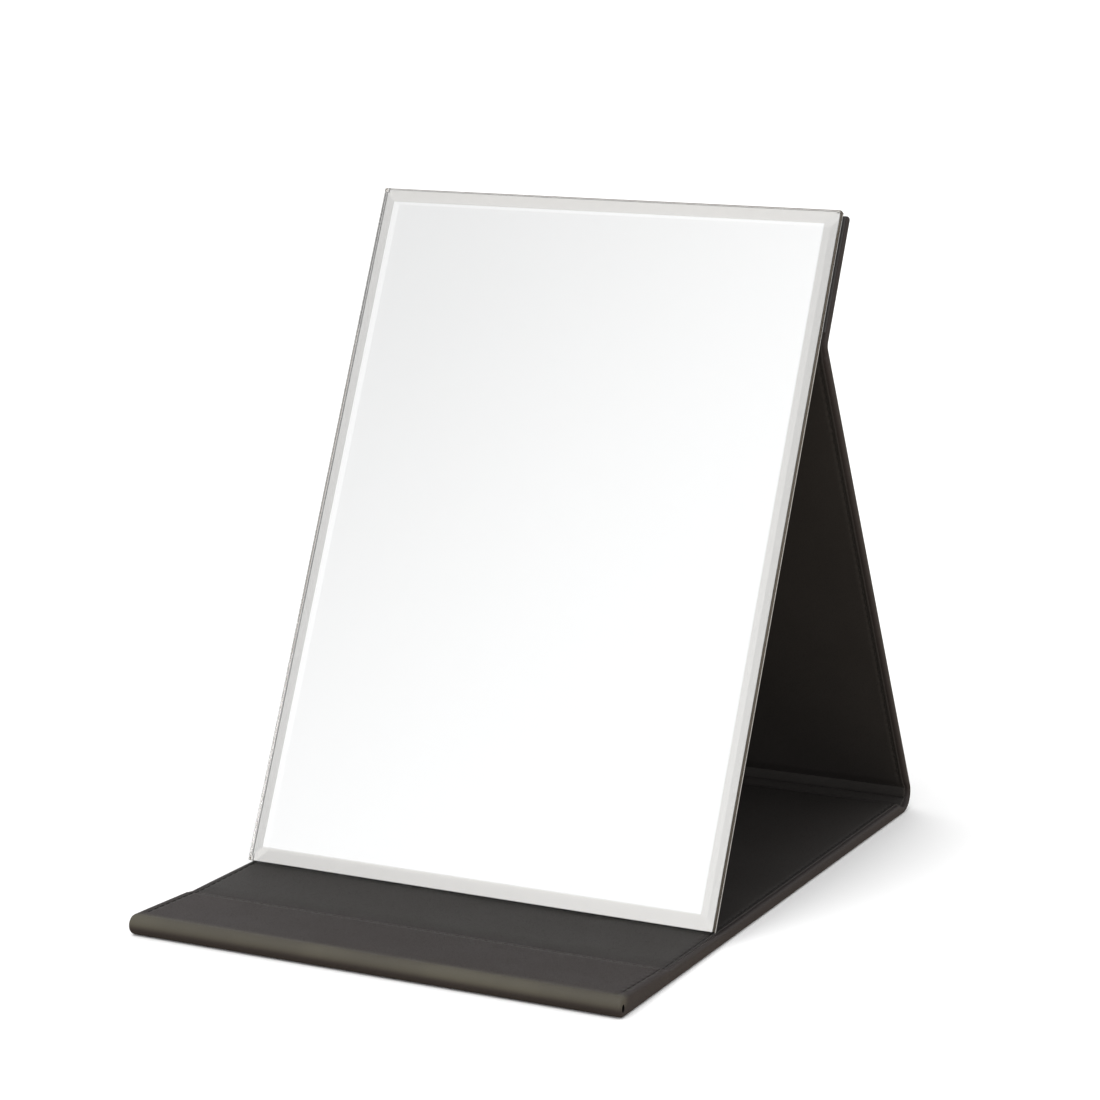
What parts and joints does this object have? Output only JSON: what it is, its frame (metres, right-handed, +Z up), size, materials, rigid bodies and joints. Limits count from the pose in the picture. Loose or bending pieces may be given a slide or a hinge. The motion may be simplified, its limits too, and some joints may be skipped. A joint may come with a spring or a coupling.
{
  "type": "countertop mirror",
  "caption": "Bevelled rectangular mirror in a leather-covered folio that folds into a free-standing triangular easel on its own flat base.",
  "frame": {"origin": "on the table, under the middle of the standing mirror's footprint", "axes": "+Z up, +X to the right as the mirror is looked into, -Y towards the person"},
  "size_m": [0.203, 0.2884, 0.2619],
  "materials": {
    "outer_leather": "matte charcoal polyurethane leather with a fine grain",
    "lining_leather": "matte charcoal polyurethane leather, smoother",
    "greyboard": "raw pressed greyboard",
    "foam": "thin closed-cell foam",
    "lip_cord": "soft extruded piping cord",
    "thread": "dark spun polyester thread",
    "clear_glass": "polished float glass, faint green at the edges",
    "silver_coat": "silver reflecting coat with dark protective paint behind",
    "mounting_tape": "black acrylic foam tape",
    "magnet_nickel": "nickel-plated magnet",
    "plated_steel": "zinc-plated sheet"
  },
  "bodies": {
    "base": {"base_outer_skin": "outer_leather", "base_lining": "lining_leather", "base_board": "greyboard", "base_foam": "foam", "front_board": "greyboard", "front_pad": "foam", "lip_cord": "lip_cord", "closure_magnet_left": "magnet_nickel", "closure_magnet_right": "magnet_nickel", "base_stitch_left": "thread", "base_stitch_right": "thread", "cross_stitch": "thread"},
    "spine": {"spine_outer_skin": "outer_leather", "spine_lining": "lining_leather"},
    "leg": {"leg_outer_skin": "outer_leather", "leg_board": "greyboard", "leg_lining": "lining_leather", "leg_stitch_left": "thread", "leg_stitch_right": "thread"},
    "mirror": {"mirror_glass": "clear_glass", "mirror_coating": "silver_coat", "mounting_tape_upper": "mounting_tape", "mounting_tape_lower": "mounting_tape", "upper_panel_skin": "outer_leather", "upper_panel_board": "greyboard", "upper_panel_lining": "lining_leather", "closure_plate_left": "plated_steel", "closure_plate_right": "plated_steel", "upper_panel_stitch": "thread", "crease_outer_skin": "outer_leather", "crease_lining": "lining_leather"}
  },
  "joints": [
    {"name": "cover_fold", "type": "hinge", "parent": "base", "child": "spine", "pos_m": [0, 0.14266, 0.00176], "axis": [-1, 0, 0], "range_deg": [0, 92.06], "deforming": ["spine_outer_skin", "spine_lining"]},
    {"name": "stand_fold", "type": "hinge", "parent": "spine", "child": "leg", "pos_m": [0, 0.144, 0.00981], "axis": [-1, 0, 0], "range_deg": [-5, 25.34]},
    {"name": "mirror_fold", "type": "hinge", "parent": "leg", "child": "mirror", "pos_m": [0, 0.03975, 0.2112], "axis": [1, 0, 0], "range_deg": [-10.3, 51.9], "deforming": ["crease_outer_skin", "crease_lining"]}
  ],
  "couplings": [
    {"joint": "mirror_fold", "follows": "stand_fold", "ratio": 2.045}
  ]
}
